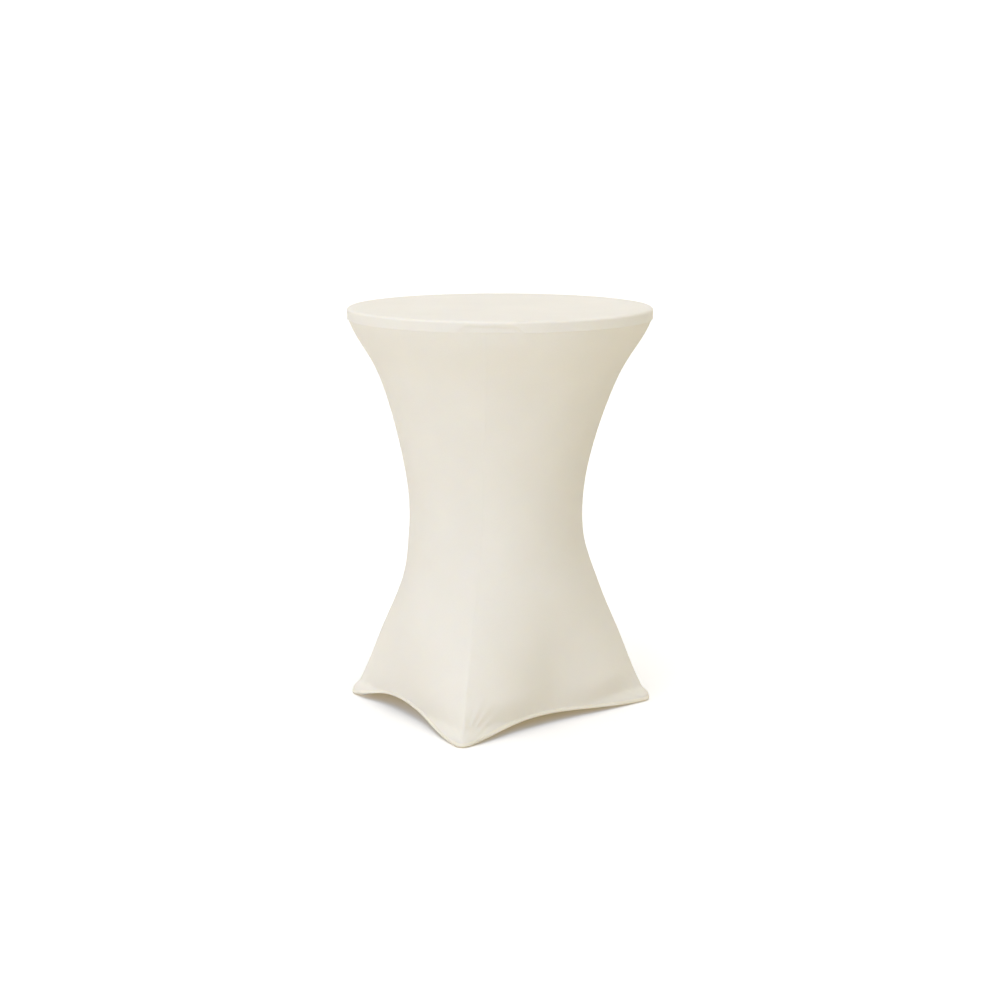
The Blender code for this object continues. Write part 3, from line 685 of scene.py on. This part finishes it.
def hem_knit(colour):
    """The same jersey folded double over elastic and coverstitched, given a lighter colour than the
    knit as a painted highlight along its edge; two rows of thread show as fine dashes."""
    material, tree, output = new_material("Jersey folded over elastic, coverstitched")
    cloth = add_node(tree, "ShaderNodeUVMap", {"uv_map": "UVMap"})
    # Stitches are 3 mm long, in two rows 6 mm apart, as such a hem has.
    dashes = add_node(
        tree, "ShaderNodeTexWave",
        {"wave_type": "BANDS", "bands_direction": "X", "Scale": math.tau / (20 * 0.0032)},
        {"Vector": (cloth, "UV")},
    )
    rows = add_node(
        tree, "ShaderNodeTexWave",
        {"wave_type": "BANDS", "bands_direction": "Y", "Scale": math.tau / (20 * 0.0060)},
        {"Vector": (cloth, "UV")},
    )
    row_line = add_node(
        tree, "ShaderNodeMapRange",
        {"From Min": 0.86, "From Max": 0.97, "To Min": 0.0, "To Max": 1.0},
        {"Value": (rows, "Fac")},
    )
    dash_line = add_node(
        tree, "ShaderNodeMapRange",
        {"From Min": 0.25, "From Max": 0.5, "To Min": 0.0, "To Max": 1.0},
        {"Value": (dashes, "Fac")},
    )
    thread = add_node(
        tree, "ShaderNodeMath",
        {"operation": "MULTIPLY"},
        {0: (row_line, "Result"), 1: (dash_line, "Result")},
    )
    ribs = add_node(
        tree, "ShaderNodeTexWave",
        {"wave_type": "BANDS", "bands_direction": "X", "Scale": math.tau / (20 * 0.0018),
         "Distortion": 0.5, "Detail": 1.0},
        {"Vector": (cloth, "UV")},
    )
    gathers = add_node(
        tree, "ShaderNodeTexNoise",
        {"Scale": 90.0, "Detail": 2.0},
        {"Vector": (cloth, "UV")},
    )
    base = linear(colour)
    mixed = add_node(tree, "ShaderNodeMix", {"data_type": "RGBA", "blend_type": "MIX"})
    mixed.inputs[6].default_value = base
    mixed.inputs[7].default_value = tuple(c * 0.93 for c in base[:3]) + (1.0,)
    tree.links.new(gathers.outputs["Fac"], mixed.inputs[0])
    first = add_node(
        tree, "ShaderNodeBump", {"Strength": 0.35, "Distance": 0.0003}, {"Height": (ribs, "Fac")}
    )
    second = add_node(
        tree, "ShaderNodeBump",
        {"Strength": 0.6, "Distance": 0.0005},
        {"Height": (thread, "Value"), "Normal": (first, "Normal")},
    )
    shader = add_node(
        tree, "ShaderNodeBsdfPrincipled",
        {"Roughness": 0.75, "IOR": 1.5, "Specular IOR Level": 0.3, "Sheen Weight": 0.3,
         "Sheen Roughness": 0.45, "Sheen Tint": (1.0, 0.98, 0.94, 1.0),
         "Subsurface Weight": 0.2, "Subsurface Radius": (0.0030, 0.0022, 0.0012),
         "Subsurface Scale": 1.0},
        {"Normal": (second, "Normal")},
    )
    tree.links.new(mixed.outputs[2], shader.inputs["Base Color"])
    tree.links.new(shader.outputs["BSDF"], output.inputs["Surface"])
    return material


def solid_finish(name, colour, roughness, grains, relief, metallic=0.0, spread=0.06, coat=0.0):
    """A hard finish: its colour, a grain of a stated size in metres, and the bump that it makes."""
    material, tree, output = new_material(name)
    place = add_node(tree, "ShaderNodeTexCoord")
    grain = add_node(
        tree, "ShaderNodeTexNoise",
        {"Scale": 1.0 / grains, "Detail": 4.0, "Roughness": 0.6},
        {"Vector": (place, "Object")},
    )
    patches = add_node(
        tree, "ShaderNodeTexNoise",
        {"Scale": 9.0, "Detail": 3.0, "Roughness": 0.55},
        {"Vector": (place, "Object")},
    )
    base = linear(colour)
    mixed = add_node(tree, "ShaderNodeMix", {"data_type": "RGBA", "blend_type": "MIX"})
    mixed.inputs[6].default_value = tuple(c * (1 - 2 * spread) for c in base[:3]) + (1.0,)
    mixed.inputs[7].default_value = base
    tree.links.new(patches.outputs["Fac"], mixed.inputs[0])
    rough = add_node(
        tree, "ShaderNodeMapRange",
        {"From Min": 0.3, "From Max": 0.7, "To Min": roughness - 0.06, "To Max": roughness + 0.08},
        {"Value": (patches, "Fac")},
    )
    bump = add_node(
        tree, "ShaderNodeBump", {"Strength": 0.5, "Distance": relief}, {"Height": (grain, "Fac")}
    )
    settings = {"Metallic": metallic, "Coat Weight": coat, "Coat Roughness": 0.25}
    if not metallic:
        settings["IOR"] = 1.5
    shader = add_node(
        tree, "ShaderNodeBsdfPrincipled",
        settings,
        {"Normal": (bump, "Normal"), "Roughness": (rough, "Result")},
    )
    tree.links.new(mixed.outputs[2], shader.inputs["Base Color"])
    tree.links.new(shader.outputs["BSDF"], output.inputs["Surface"])
    return material


def cover_knit():
    """The cover's knit, made once and shared by its pieces."""
    found = bpy.data.materials.get("Polyester-elastane jersey, circular-knit")
    return found or stretch_knit(bpy.context.scene.finish_colours.knit)


def cover_hem():
    """The hem's knit, made once and shared by the four bands."""
    found = bpy.data.materials.get("Jersey folded over elastic, coverstitched")
    return found or hem_knit(bpy.context.scene.finish_colours.hem)


# Operators, one for each piece or group of like pieces.


class COVER_OT_top_panel(bpy.types.Operator):
    """Build the round top panel, drawn over the top's edge down to the rim seam"""

    bl_idname = "stretch_cover.top_panel"
    bl_label = "Top panel"

    def execute(self, context):
        sizes = context.scene.cover_sizes
        radius, high, rounding = sizes.cover_radius, sizes.table_height, sizes.rim_rounding
        low = sizes.seam_height + 0.0002
        profile = [(r, high) for r in (0.004, 0.05, 0.12, 0.2, 0.28, 0.34, 0.38, 0.392)]
        for step in range(9):
            turn = math.radians(90 - 90 * step / 8)
            profile.append(
                (
                    radius - rounding + rounding * math.cos(turn),
                    high - rounding + rounding * math.sin(turn),
                )
            )
        down = 12
        side_high = high - rounding
        profile += [(radius, side_high + (low - side_high) * i / down) for i in range(1, down + 1)]
        columns = 432
        rows = []
        for r, z in profile:
            row = []
            for i in range(columns):
                angle = math.tau * i / columns
                out = r
                if r > radius - 0.003:
                    out -= sizes.grip_depth * grip_share(sizes, angle, z)
                row.append(Vector((out * math.cos(angle), out * math.sin(angle), z)))
            rows.append(row)
        lengths = [0.0]
        for before, after in zip(profile, profile[1:]):
            lengths.append(lengths[-1] + math.dist(before, after))

        def uvs(row, column):
            angle = math.tau * column / columns
            reach = profile[0][0] + lengths[row]
            return (reach * math.cos(angle), reach * math.sin(angle))

        obj = cloth_from_grid("cover_top_cloth", rows, uvs, closed=True)
        fill_middle(obj, upwards=True)
        thicken(obj, sizes.cloth)
        finish_piece(obj, cover_knit())
        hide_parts("cover_top_panel")
        # The real panel is cut as a circle, a little smaller than it lies, because the knit
        # stretches.
        return {"FINISHED"}


class COVER_OT_skirt_gores(bpy.types.Operator):
    """Build the four gores of the skirt, from the rim seam to the hem, between the feet"""

    bl_idname = "stretch_cover.skirt_gores"
    bl_label = "Skirt gores"

    def execute(self, context):
        sizes = context.scene.cover_sizes
        top = sizes.seam_height
        for name, gore in GORES.items():
            foot_half, side_half, _, _ = gore_half(sizes, gore)
            half_angle = math.atan2(side_half, foot_half)
            shares = self.columns(side_half)
            rows = []
            levels = self.levels()
            for level in levels:
                row = []
                for share in shares:
                    foot = hem_height(sizes, gore, share) + sizes.hem_band
                    height = foot + (top - foot) * level
                    row.append(skirt_point(sizes, name, gore, share, height))
                rows.append(row)

            def uvs(r, c, rows=rows, shares=shares, half_angle=half_angle):
                return (shares[c] * half_angle * 0.30, rows[r][c].z)

            obj = cloth_from_grid(f"skirt_gore_{name}", rows, uvs)
            thicken(obj, sizes.cloth)
            finish_piece(obj, cover_knit())
            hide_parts(f"skirt_panel_{name}")
        return {"FINISHED"}

    def columns(self, side_half):
        """Shares across a gore, closer together towards its two seams."""
        count = 104
        shares = []
        for i in range(count + 1):
            t = 2 * i / count - 1
            shares.append(0.62 * t + 0.38 * math.sin(t * math.pi / 2))
        near = [1 - step / side_half for step in (0.0006, 0.0013, 0.0021, 0.003, 0.0042, 0.0058)]
        return sorted({round(s, 6) for s in shares + near + [-s for s in near]})

    def levels(self):
        """Shares up a gore, from the rim seam down, closer together towards the floor."""
        count = 150
        return [(1 - i / count) ** 1.35 for i in range(count + 1)]


class COVER_OT_rim_welt(bpy.types.Operator):
    """Build the raised, overlocked seam round the rim"""

    bl_idname = "stretch_cover.rim_welt"
    bl_label = "Rim welt"

    def execute(self, context):
        sizes = context.scene.cover_sizes
        radius = sizes.welt_radius
        deselect_all()
        columns, around = 432, 14
        bpy.ops.mesh.primitive_torus_add(
            major_segments=columns,
            minor_segments=around,
            major_radius=sizes.cover_radius - WELT_SUNK,
            minor_radius=radius,
            location=(0, 0, 0),
        )
        welt = context.active_object
        welt.name = "rim_welt_cord"
        for vert in welt.data.vertices:
            angle = math.atan2(vert.co.y, vert.co.x)
            ring = vert.co.xy.length - sizes.cover_radius + WELT_SUNK
            # the overlock thread bites the seam every 4 mm, so it swells slightly between bites
            swell = 1 + 0.05 * math.sin(angle * 640)
            inside = grip_share(sizes, angle, sizes.seam_height)
            sunk = WELT_SUNK + (sizes.grip_depth + 0.0004) * inside
            reach = sizes.cover_radius + ring * swell - sunk
            z = sizes.seam_height + vert.co.z * swell
            vert.co = (reach * math.cos(angle), reach * math.sin(angle), z)
        self.lay_uvs(welt, sizes.cover_radius)
        welt.data.shade_smooth()
        finish_piece(welt, cover_knit())
        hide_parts("rim_welt")
        return {"FINISHED"}

    def lay_uvs(self, obj, radius):
        """Lays the knit along the cord: u runs round the rim and v round the cord, in metres."""
        layer = obj.data.uv_layers.active or obj.data.uv_layers.new(name="UVMap")
        layer.name = "UVMap"
        for loop in obj.data.loops:
            uv = layer.data[loop.index].uv
            layer.data[loop.index].uv = (uv.x * math.tau * radius, uv.y * 0.0113)


class COVER_OT_hem_bands(bpy.types.Operator):
    """Build the elastic bands turned into the lower edges of the four gores"""

    bl_idname = "stretch_cover.hem_bands"
    bl_label = "Hem bands"

    def execute(self, context):
        sizes = context.scene.cover_sizes
        for name, gore in GORES.items():
            _, side_half, _, _ = gore_half(sizes, gore)
            count = 150
            shares = [2 * i / count - 1 for i in range(count + 1)]
            band = sizes.hem_band
            # A section up the band, from its folded lower edge inside to its stitched top.
            section = (
                (0.0030, -0.0021), (0.0008, -0.0020), (0.0, -0.0012), (0.0, 0.0),
                (0.0005, 0.0010), (0.0018, 0.0019), (0.0042, 0.0024), (0.0075, 0.0020),
                (band + 0.0002, 0.0006), (band + 0.0007, -0.0002),
            )
            rows = []
            for rise, proud in reversed(section):
                row = []
                for share in shares:
                    foot = hem_height(sizes, gore, share)
                    wave = 0.00018 * math.sin(share * side_half * 520) * min(1.0, rise / 0.004)
                    place = skirt_point(sizes, name, gore, share, foot + rise, proud + wave)
                    row.append(place)
                rows.append(row)

            def uvs(r, c, shares=shares, side_half=side_half, section=section):
                return (shares[c] * side_half, section[len(section) - 1 - r][0])

            obj = cloth_from_grid(f"hem_band_{name}", rows, uvs)
            thicken(obj, BAND_WALL)
            finish_piece(obj, cover_hem())
            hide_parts(f"hem_elastic_{name}")
        return {"FINISHED"}


class COVER_OT_foot_pockets(bpy.types.Operator):
    """Build the four pockets that hook under the feet and hold the skirt down"""

    bl_idname = "stretch_cover.foot_pockets"
    bl_label = "Foot pockets"

    def execute(self, context):
        sizes = context.scene.cover_sizes
        for x_name, sign_x in (("left", -1), ("right", 1)):
            for y_name, sign_y in (("front", -1), ("back", 1)):
                self.pocket(sizes, f"{y_name}_{x_name}", sign_x, sign_y)
        return {"FINISHED"}

    def pocket(self, sizes, name, sign_x, sign_y):
        """One pocket: a shallow cup with soft corners, gathered at its mouth."""
        half = 0.0240
        inset_x, inset_y = sizes.foot_half_x - half, sizes.foot_half_y - half
        centre = Vector((sign_x * inset_x, sign_y * inset_y, 0))
        columns = 96
        # Up the pocket, from the middle of its sole to its mouth: (share of the half side, height).
        section = (
            (0.03, 0.0001), (0.35, 0.0001), (0.70, 0.0001), (0.90, 0.0002), (0.965, 0.0010),
            (0.995, 0.0028), (1.0, 0.008), (1.0, 0.012), (1.0, 0.016), (0.999, 0.019),
            (0.998, 0.0212),
        )
        rows = []
        for scale, z in reversed(section):
            row = []
            for i in range(columns):
                angle = math.tau * i / columns
                c, s = math.cos(angle), math.sin(angle)
                # nearly round, with a hint of its square pattern
                reach = half / (abs(c) ** 2.2 + abs(s) ** 2.2) ** (1 / 2.2)
                gather = 0.00015 * math.sin(angle * 17) * smooth_step((z - 0.012) / 0.02)
                reach = reach * scale - abs(gather)
                row.append(centre + Vector((reach * c, reach * s, z)))
            rows.append(row)

        def uvs(r, c):
            scale, z = section[len(section) - 1 - r]
            return (math.tau * c / columns * half * scale, z + half * scale)

        obj = cloth_from_grid(f"foot_pocket_cup_{name}", rows, uvs, closed=True)
        fill_middle(obj, upwards=False)
        thicken(obj, BAND_WALL)
        finish_piece(obj, cover_knit())
        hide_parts(f"foot_pocket_{name}")

    def foot(self, name):
        """The rubber cap that a pocket holds."""
        y_name, x_name = name.split("_")
        return f"{'outer' if x_name == 'right' else 'inner'}_foot_cap_{y_name}"


class COVER_OT_table_finishes(bpy.types.Operator):
    """Give the table inside its moulded, painted, plated and rubber finishes"""

    bl_idname = "stretch_cover.table_finishes"
    bl_label = "Table finishes"

    def execute(self, context):
        colours = context.scene.finish_colours
        # Blow-moulded HDPE: pale, waxy, with the fine pebble of its blasted mould, drawn at 1.5 mm.
        moulded = solid_finish(
            "HDPE, blow-moulded with a pebbled face", colours.moulded_top, 0.48, 0.0015, 0.0004
        )
        # Glass-filled nylon: dark, dull, with a faint sparkle of fibre near the surface.
        nylon = solid_finish("Nylon, injection-moulded", colours.nylon, 0.52, 0.0012, 0.0002)
        # Powder coat: baked polyester with a fine orange peel, drawn at 2 mm.
        powder = solid_finish(
            "Polyester powder coat, baked on steel tube", colours.powder, 0.38, 0.002, 0.0003,
            coat=0.15,
        )
        # Moulded rubber: nearly black, chalky where it has been handled.
        rubber = solid_finish("Rubber, compression-moulded", colours.rubber, 0.78, 0.0018, 0.0003)
        # Bright zinc: grey metal with a clouded, slightly blue passivation.
        zinc = solid_finish(
            "Zinc plate, bright and passivated", colours.zinc, 0.34, 0.001, 0.00008,
            metallic=1.0, spread=0.1,
        )
        for name, node in frame["nodes"].items():
            if "cap" in name:
                self.paint(node, rubber)
            elif name == "tabletop":
                self.paint(node, moulded)
            elif "saddle_screw" in name or "rest_screw" in name or name.startswith("pivot_"):
                self.paint(node, zinc)
            elif "saddle" in name or "bar_rest" in name:
                self.paint(node, nylon)
            elif "leg" in name or "bar" in name or "rail" in name:
                self.paint(node, powder)
        return {"FINISHED"}

    def paint(self, node, material):
        """Assigns one finish to a solid of the table."""
        if not node.material_slots:
            node.data.materials.append(material)
        for entry in node.material_slots:
            entry.material = material


class COVER_OT_studio(bpy.types.Operator):
    """Build the pale floor, the soft lights and the camera"""

    bl_idname = "stretch_cover.studio"
    bl_label = "Studio"

    def execute(self, context):
        scene = context.scene
        studio = scene.studio_settings
        scene.view_settings.view_transform = "Standard"
        self.floor("studio_floor", 0.0, linear("F2F2F2"), 0.27, camera=True)
        self.floor("studio_bounce", -0.003, linear("DED8C8"), 0.0, camera=False)
        self.fill(scene, studio)
        self.key(studio)
        self.camera(scene, studio)
        return {"FINISHED"}

    def floor(self, name, height, colour, glow, camera):
        """A wide sheet of studio paper. One is what is seen, the other what throws light back."""
        deselect_all()
        bpy.ops.mesh.primitive_plane_add(size=60, location=(0, 0, height))
        sheet = bpy.context.active_object
        sheet.name = name
        material, tree, output = new_material(f"Studio paper, {name}")
        place = add_node(tree, "ShaderNodeTexCoord")
        grain = add_node(
            tree, "ShaderNodeTexNoise",
            {"Scale": 700.0, "Detail": 2.0},
            {"Vector": (place, "Object")},
        )
        bump = add_node(
            tree, "ShaderNodeBump", {"Strength": 0.1, "Distance": 0.0002},
            {"Height": (grain, "Fac")},
        )
        # Painted light: under the cover an ambient-occlusion mask mixes a warm glow into the
        # camera's paper, painted in place of light coming through the knit.
        shade = add_node(tree, "ShaderNodeAmbientOcclusion", {"Distance": 0.6})
        painted_glow_mask = add_node(
            tree, "ShaderNodeMapRange",
            {"From Min": 0.56, "From Max": 0.22, "To Min": 0.0, "To Max": 1.0},
            {"Value": (shade, "AO")},
        )
        lit = add_node(tree, "ShaderNodeMix", {"data_type": "RGBA"})
        lit.inputs[6].default_value = (glow, glow, glow, 1.0)
        # the warm colour is the painted glow under the cover; the even glow keeps the open paper
        # white
        lit.inputs[7].default_value = (0.25, 0.18, 0.07, 1.0) if camera else (0.0, 0.0, 0.0, 1.0)
        tree.links.new(painted_glow_mask.outputs["Result"], lit.inputs[0])
        shader = add_node(
            tree, "ShaderNodeBsdfPrincipled",
            {"Base Color": colour, "Roughness": 0.95, "Specular IOR Level": 0.0,
             "Emission Strength": 1.0},
            {"Normal": (bump, "Normal")},
        )
        tree.links.new(lit.outputs[2], shader.inputs["Emission Color"])
        tree.links.new(shader.outputs["BSDF"], output.inputs["Surface"])
        sheet.data.materials.append(material)
        sheet.visible_camera = camera
        sheet.visible_diffuse = not camera
        sheet.visible_glossy = not camera
        sheet.visible_shadow = not camera
        sheet.visible_transmission = not camera

    def fill(self, scene, studio):
        """Soft light from all round: white walls, a dim band above them and bright overhead."""
        world = bpy.data.worlds.new("Studio fill")
        scene.world = world
        world.use_nodes = True
        tree = world.node_tree
        tree.nodes.clear()
        output = add_node(tree, "ShaderNodeOutputWorld")
        place = add_node(tree, "ShaderNodeTexCoord")
        split = add_node(tree, "ShaderNodeSeparateXYZ", None, {"Vector": (place, "Generated")})
        walls = add_node(
            tree, "ShaderNodeMapRange",
            {"From Min": 0.30, "From Max": 0.42, "To Min": studio.horizon, "To Max": studio.sky},
            {"Value": (split, "Z")},
        )
        above = add_node(
            tree, "ShaderNodeMapRange",
            {"From Min": 0.82, "From Max": 0.90, "To Min": 0.0,
             "To Max": studio.overhead - studio.sky},
            {"Value": (split, "Z")},
        )
        level = add_node(
            tree, "ShaderNodeMath", {"operation": "ADD"},
            {0: (walls, "Result"), 1: (above, "Result")},
        )
        background = add_node(
            tree, "ShaderNodeBackground",
            {"Color": (1.0, 0.98, 0.94, 1.0)},
            {"Strength": (level, "Value")},
        )
        tree.links.new(background.outputs["Background"], output.inputs["Surface"])

    def key(self, studio):
        """A broad, low light to the left of the camera."""
        azimuth = math.atan2(-HEADING[1], -HEADING[0]) - math.radians(30)
        lift = math.radians(3)
        reach = Vector(
            (
                math.cos(lift) * math.cos(azimuth),
                math.cos(lift) * math.sin(azimuth),
                math.sin(lift),
            )
        )
        data = bpy.data.lights.new("Key light", "SUN")
        data.angle = math.radians(50)
        data.energy = studio.key_power
        data.color = (0.84, 0.92, 1.20)
        light = bpy.data.objects.new("Key light", data)
        light.location = Vector((0, 0, 0.55)) + reach * 6
        light.rotation_mode = "QUATERNION"
        light.rotation_quaternion = (-reach).to_track_quat("-Z", "Y")
        bpy.context.scene.collection.objects.link(light)

    def camera(self, scene, studio):
        """The camera, level from side to side and tipped down a little."""
        data = bpy.data.cameras.new("Camera")
        data.lens = studio.lens
        data.sensor_width = 36
        data.clip_end = 200
        camera = bpy.data.objects.new("Camera", data)
        camera.location = studio.camera_place
        heading = math.atan2(HEADING[1], HEADING[0]) - math.pi / 2
        camera.rotation_euler = (math.pi / 2 - studio.camera_pitch, 0, heading)
        scene.collection.objects.link(camera)
        scene.camera = camera


class COVER_PT_sidebar(bpy.types.Panel):
    """Lists the pieces, in the order in which they are built"""

    bl_idname = "COVER_PT_sidebar"
    bl_label = "Stretch Cover"
    bl_space_type = "VIEW_3D"
    bl_region_type = "UI"
    bl_category = "Stretch Cover"

    def draw(self, context):
        for group in ("cover_sizes", "finish_colours", "studio_settings"):
            box = self.layout.box()
            settings = getattr(context.scene, group)
            for name in settings.__annotations__:
                box.prop(settings, name)
        for operator in OPERATORS:
            self.layout.operator(operator.bl_idname)


OPERATORS = (
    COVER_OT_top_panel,
    COVER_OT_skirt_gores,
    COVER_OT_rim_welt,
    COVER_OT_hem_bands,
    COVER_OT_foot_pockets,
    COVER_OT_table_finishes,
    COVER_OT_studio,
)
CLASSES = (CoverSizes, FinishColours, StudioSettings, *OPERATORS, COVER_PT_sidebar)


def register():
    for cls in CLASSES:
        bpy.utils.register_class(cls)
    bpy.types.Scene.cover_sizes = bpy.props.PointerProperty(type=CoverSizes)
    bpy.types.Scene.finish_colours = bpy.props.PointerProperty(type=FinishColours)
    bpy.types.Scene.studio_settings = bpy.props.PointerProperty(type=StudioSettings)


def unregister():
    del bpy.types.Scene.studio_settings
    del bpy.types.Scene.finish_colours
    del bpy.types.Scene.cover_sizes
    for cls in reversed(CLASSES):
        bpy.utils.unregister_class(cls)


def main():
    """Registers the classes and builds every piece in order."""
    register()
    bpy.ops.stretch_cover.top_panel()
    bpy.ops.stretch_cover.skirt_gores()
    bpy.ops.stretch_cover.rim_welt()
    bpy.ops.stretch_cover.hem_bands()
    bpy.ops.stretch_cover.foot_pockets()
    bpy.ops.stretch_cover.table_finishes()
    bpy.ops.stretch_cover.studio()


if __name__ == "__main__":
    main()
